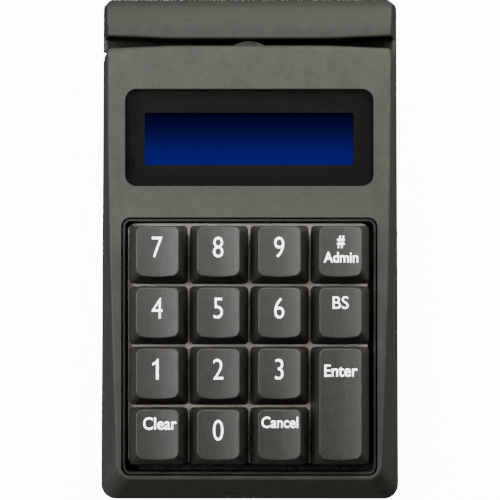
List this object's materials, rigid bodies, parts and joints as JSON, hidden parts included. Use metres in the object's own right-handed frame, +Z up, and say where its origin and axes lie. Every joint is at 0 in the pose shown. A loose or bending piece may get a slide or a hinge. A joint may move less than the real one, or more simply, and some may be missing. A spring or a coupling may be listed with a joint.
{
  "type": "keypad access reader",
  "caption": "Desk-top entry keypad with a tilted deck, mechanical numeric and function keys, a blue character display and a card swipe slot across its rear.",
  "frame": {"origin": "on the table, under the middle of the case's outline", "axes": "+X to the right, -Y towards the user (the Clear and 0 keys), +Y towards the card slot, +Z up"},
  "size_m": [0.0956, 0.1614, 0.0363],
  "materials": {
    "case_plastic": "finely textured warm charcoal moulding",
    "key_plastic": "finely grained warm charcoal keycap moulding",
    "black_plastic": "satin black moulding",
    "switch_plastic": "black glass-filled moulding",
    "slider_plastic": "smooth acetal",
    "plate_paint": "satin beige paint on sheet steel",
    "spring_steel": "bright drawn steel",
    "screw_steel": "zinc plated",
    "board": "green solder mask",
    "chips": "moulded black epoxy",
    "ribbon": "grey ribbon cable",
    "lens": "clear polished acrylic",
    "mask": "black printed border",
    "bezel_steel": "black coated steel",
    "display": "deep blue lit glass",
    "backlight": "frosted light guide",
    "rubber": "matte black rubber",
    "head_steel": "dark hard-wearing alloy",
    "pin_metal": "tinned"
  },
  "bodies": {
    "case": {"top_shell": "case_plastic", "rear_bar": "case_plastic", "bottom_shell": "case_plastic", "rubber_feet": "rubber", "case_screws": "screw_steel", "small_screws": "screw_steel", "switch_housings": "switch_plastic", "switch_springs": "spring_steel", "switch_pins": "pin_metal", "stabiliser_guides": "switch_plastic", "key_plate": "plate_paint", "key_frame": "black_plastic", "key_board": "board", "board_standoffs": "screw_steel", "display_lens": "lens", "window_mask": "mask", "lcd_bezel": "bezel_steel", "lcd_glass": "display", "lcd_backlight": "backlight", "lcd_board": "board", "head_spring": "spring_steel", "controller_board": "board", "board_components": "chips", "ribbon_cables": "ribbon", "head_cable": "ribbon", "port_shell": "screw_steel", "port_tongue": "black_plastic"},
    "key_7": {"key_7_cap": "key_plastic", "key_7_slider": "slider_plastic"},
    "key_8": {"key_8_cap": "key_plastic", "key_8_slider": "slider_plastic"},
    "key_9": {"key_9_cap": "key_plastic", "key_9_slider": "slider_plastic"},
    "key_admin": {"key_admin_cap": "key_plastic", "key_admin_slider": "slider_plastic"},
    "key_4": {"key_4_cap": "key_plastic", "key_4_slider": "slider_plastic"},
    "key_5": {"key_5_cap": "key_plastic", "key_5_slider": "slider_plastic"},
    "key_6": {"key_6_cap": "key_plastic", "key_6_slider": "slider_plastic"},
    "key_backspace": {"key_backspace_cap": "key_plastic", "key_backspace_slider": "slider_plastic"},
    "key_1": {"key_1_cap": "key_plastic", "key_1_slider": "slider_plastic"},
    "key_2": {"key_2_cap": "key_plastic", "key_2_slider": "slider_plastic"},
    "key_3": {"key_3_cap": "key_plastic", "key_3_slider": "slider_plastic"},
    "key_clear": {"key_clear_cap": "key_plastic", "key_clear_slider": "slider_plastic"},
    "key_0": {"key_0_cap": "key_plastic", "key_0_slider": "slider_plastic"},
    "key_cancel": {"key_cancel_cap": "key_plastic", "key_cancel_slider": "slider_plastic"},
    "key_enter": {"key_enter_cap": "key_plastic", "key_enter_slider": "slider_plastic", "stabiliser_sliders": "slider_plastic"},
    "stabiliser_wire": {"stabiliser_wire": "spring_steel"},
    "mag_head": {"mag_head": "head_steel"}
  },
  "joints": [
    {"name": "key_7_press", "type": "slide", "parent": "case", "child": "key_7", "axis": [0, 0.0872, -0.9962], "range_m": [0, 0.004], "stiffness_N_per_m": 90, "springref_m": -0.005, "deforming": ["switch_springs"]},
    {"name": "key_8_press", "type": "slide", "parent": "case", "child": "key_8", "axis": [0, 0.0872, -0.9962], "range_m": [0, 0.004], "stiffness_N_per_m": 90, "springref_m": -0.005, "deforming": ["switch_springs"]},
    {"name": "key_9_press", "type": "slide", "parent": "case", "child": "key_9", "axis": [0, 0.0872, -0.9962], "range_m": [0, 0.004], "stiffness_N_per_m": 90, "springref_m": -0.005, "deforming": ["switch_springs"]},
    {"name": "key_admin_press", "type": "slide", "parent": "case", "child": "key_admin", "axis": [0, 0.0872, -0.9962], "range_m": [0, 0.004], "stiffness_N_per_m": 90, "springref_m": -0.005, "deforming": ["switch_springs"]},
    {"name": "key_4_press", "type": "slide", "parent": "case", "child": "key_4", "axis": [0, 0.0872, -0.9962], "range_m": [0, 0.004], "stiffness_N_per_m": 90, "springref_m": -0.005, "deforming": ["switch_springs"]},
    {"name": "key_5_press", "type": "slide", "parent": "case", "child": "key_5", "axis": [0, 0.0872, -0.9962], "range_m": [0, 0.004], "stiffness_N_per_m": 90, "springref_m": -0.005, "deforming": ["switch_springs"]},
    {"name": "key_6_press", "type": "slide", "parent": "case", "child": "key_6", "axis": [0, 0.0872, -0.9962], "range_m": [0, 0.004], "stiffness_N_per_m": 90, "springref_m": -0.005, "deforming": ["switch_springs"]},
    {"name": "key_backspace_press", "type": "slide", "parent": "case", "child": "key_backspace", "axis": [0, 0.0872, -0.9962], "range_m": [0, 0.004], "stiffness_N_per_m": 90, "springref_m": -0.005, "deforming": ["switch_springs"]},
    {"name": "key_1_press", "type": "slide", "parent": "case", "child": "key_1", "axis": [0, 0.0872, -0.9962], "range_m": [0, 0.004], "stiffness_N_per_m": 90, "springref_m": -0.005, "deforming": ["switch_springs"]},
    {"name": "key_2_press", "type": "slide", "parent": "case", "child": "key_2", "axis": [0, 0.0872, -0.9962], "range_m": [0, 0.004], "stiffness_N_per_m": 90, "springref_m": -0.005, "deforming": ["switch_springs"]},
    {"name": "key_3_press", "type": "slide", "parent": "case", "child": "key_3", "axis": [0, 0.0872, -0.9962], "range_m": [0, 0.004], "stiffness_N_per_m": 90, "springref_m": -0.005, "deforming": ["switch_springs"]},
    {"name": "key_clear_press", "type": "slide", "parent": "case", "child": "key_clear", "axis": [0, 0.0872, -0.9962], "range_m": [0, 0.004], "stiffness_N_per_m": 90, "springref_m": -0.005, "deforming": ["switch_springs"]},
    {"name": "key_0_press", "type": "slide", "parent": "case", "child": "key_0", "axis": [0, 0.0872, -0.9962], "range_m": [0, 0.004], "stiffness_N_per_m": 90, "springref_m": -0.005, "deforming": ["switch_springs"]},
    {"name": "key_cancel_press", "type": "slide", "parent": "case", "child": "key_cancel", "axis": [0, 0.0872, -0.9962], "range_m": [0, 0.004], "stiffness_N_per_m": 90, "springref_m": -0.005, "deforming": ["switch_springs"]},
    {"name": "key_enter_press", "type": "slide", "parent": "case", "child": "key_enter", "axis": [0, 0.0872, -0.9962], "range_m": [0, 0.004], "stiffness_N_per_m": 90, "springref_m": -0.005, "deforming": ["switch_springs"]},
    {"name": "stabiliser_turn", "type": "hinge", "parent": "case", "child": "stabiliser_wire", "pos_m": [0.01905, -0.05088, 0.01482], "axis": [0, 0.9962, 0.0872], "range_deg": [0, 24.3]},
    {"name": "head_float", "type": "slide", "parent": "case", "child": "mag_head", "axis": [0, -0.9962, -0.0872], "range_m": [0, 0.0008], "stiffness_N_per_m": 800, "springref_m": -0.0004, "deforming": ["head_spring", "head_cable"]}
  ],
  "couplings": [
    {"joint": "stabiliser_turn", "follows": "key_enter_press", "rad_per_m": 105.59}
  ]
}
